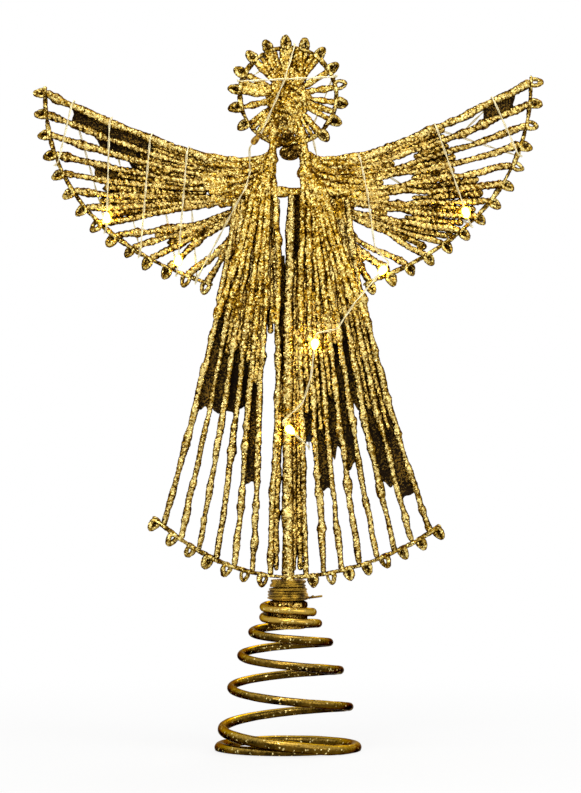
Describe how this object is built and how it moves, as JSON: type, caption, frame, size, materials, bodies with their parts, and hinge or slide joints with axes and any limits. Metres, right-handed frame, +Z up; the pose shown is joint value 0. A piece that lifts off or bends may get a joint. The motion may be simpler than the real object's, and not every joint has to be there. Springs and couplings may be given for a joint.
{
  "type": "angel tree topper",
  "caption": "Gold glittered angel tree topper of stiff cords and looped wire, with a wound string of lights and a battery box behind, on a conical coil spring for the top of a tree.",
  "frame": {"origin": "on the spring's axis, at the floor that the foot turn stands on", "axes": "+Z up from the spring to the head, -Y out of the figure's front, +X to the viewer's right from the front"},
  "size_m": [0.1996, 0.056, 0.2782],
  "materials": {
    "spring_gold": "glossy dark gold lacquer",
    "glitter_cord": "gold glitter over stiff cord",
    "glitter_wire": "gold glitter over wire",
    "pale_wire": "thin lacquered wire",
    "lamp_drop": "clear resin drop",
    "dark_backing": "matte dark card",
    "box_plastic": "matte moulded",
    "contact_steel": "stamped",
    "cell_jacket": "plain printed jacket"
  },
  "bodies": {
    "spring": {"coil_spring": "spring_gold"},
    "angel": {"collar": "glitter_cord", "centre_post": "glitter_cord", "skirt_rib_left_1": "glitter_cord", "skirt_rib_left_2": "glitter_cord", "skirt_rib_left_3": "glitter_cord", "skirt_rib_left_4": "glitter_cord", "skirt_rib_left_5": "glitter_cord", "skirt_rib_left_6": "glitter_cord", "skirt_rib_left_7": "glitter_cord", "skirt_rib_right_1": "glitter_cord", "skirt_rib_right_2": "glitter_cord", "skirt_rib_right_3": "glitter_cord", "skirt_rib_right_4": "glitter_cord", "skirt_rib_right_5": "glitter_cord", "skirt_rib_right_6": "glitter_cord", "skirt_rib_right_7": "glitter_cord", "skirt_rib_right_8": "glitter_cord", "chest_bar": "glitter_cord", "head_spokes": "glitter_cord", "neck_stem_left": "glitter_cord", "neck_stem_right": "glitter_cord", "wing_spar_left": "glitter_cord", "wing_spar_right": "glitter_cord", "wing_ribs_left": "glitter_cord", "wing_ribs_right": "glitter_cord", "skirt_hem_left": "glitter_wire", "skirt_hem_right": "glitter_wire", "head_ring": "glitter_wire", "wing_edge_left": "glitter_wire", "wing_edge_right": "glitter_wire", "collar_binding": "pale_wire", "light_wire": "pale_wire", "light_drop_1": "lamp_drop", "light_drop_2": "lamp_drop", "light_drop_3": "lamp_drop", "light_drop_4": "lamp_drop", "light_drop_5": "lamp_drop", "light_drop_6": "lamp_drop", "light_drop_7": "lamp_drop", "skirt_backing": "dark_backing", "wing_backing_left": "dark_backing", "wing_backing_right": "dark_backing", "chin_knot": "dark_backing", "battery_case": "box_plastic", "switch_body": "box_plastic", "contact_springs": "contact_steel", "contact_strip": "contact_steel", "cell_1": "cell_jacket", "cell_2": "cell_jacket"},
    "battery_cover": {"battery_cover": "box_plastic"},
    "switch_knob": {"switch_knob": "box_plastic"}
  },
  "joints": [
    {"name": "spring_compress", "type": "slide", "parent": "spring", "child": "angel", "axis": [0, 0, 1], "range_m": [-0.02, 0.004], "stiffness_N_per_m": 1600, "springref_m": 0.0006, "deforming": ["coil_spring"]},
    {"name": "battery_cover_slide", "type": "slide", "parent": "angel", "child": "battery_cover", "axis": [0, 0, 1], "range_m": [0, 0.045]},
    {"name": "switch_slide", "type": "slide", "parent": "angel", "child": "switch_knob", "axis": [1, 0, 0], "range_m": [0, 0.004]}
  ]
}
